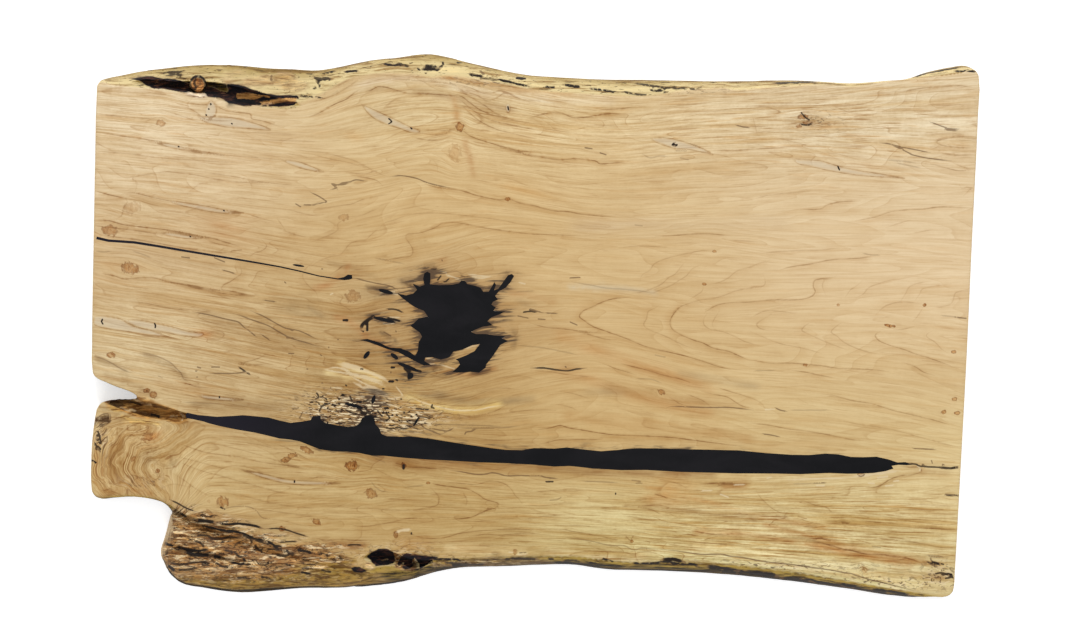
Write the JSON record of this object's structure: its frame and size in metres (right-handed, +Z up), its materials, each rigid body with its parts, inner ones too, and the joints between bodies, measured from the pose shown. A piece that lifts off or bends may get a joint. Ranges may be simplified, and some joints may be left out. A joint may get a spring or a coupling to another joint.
{
  "type": "live edge wood slab",
  "caption": "Thick maple slab with natural live edges, a crotch notch at one end, and black resin filling its central void and long gap.",
  "frame": {"origin": "middle of the slab's bounding box, on its underside", "axes": "+X along the length from the notched end to the plain sawn end, +Y across the slab to the straighter stem's live edge, +Z up out of the finished face"},
  "size_m": [1.524, 0.9332, 0.051],
  "materials": {
    "maple": "sanded and oiled, satin",
    "black_resin": "cast black resin, sanded flush, satin"
  },
  "bodies": {
    "root": {"maple_slab": "maple", "resin_river": "black_resin", "resin_pool": "black_resin", "resin_seam": "black_resin", "resin_plug_above_seam": "black_resin", "resin_plug_left_inlet": "black_resin", "resin_plug_left_fork": "black_resin", "resin_plug_lower_left": "black_resin", "resin_plug_round": "black_resin", "resin_plug_under_finger": "black_resin", "resin_plug_drop": "black_resin", "resin_plug_river_streak": "black_resin", "resin_plug_river_stub": "black_resin", "resin_plug_river_hook": "black_resin"}
  },
  "joints": []
}
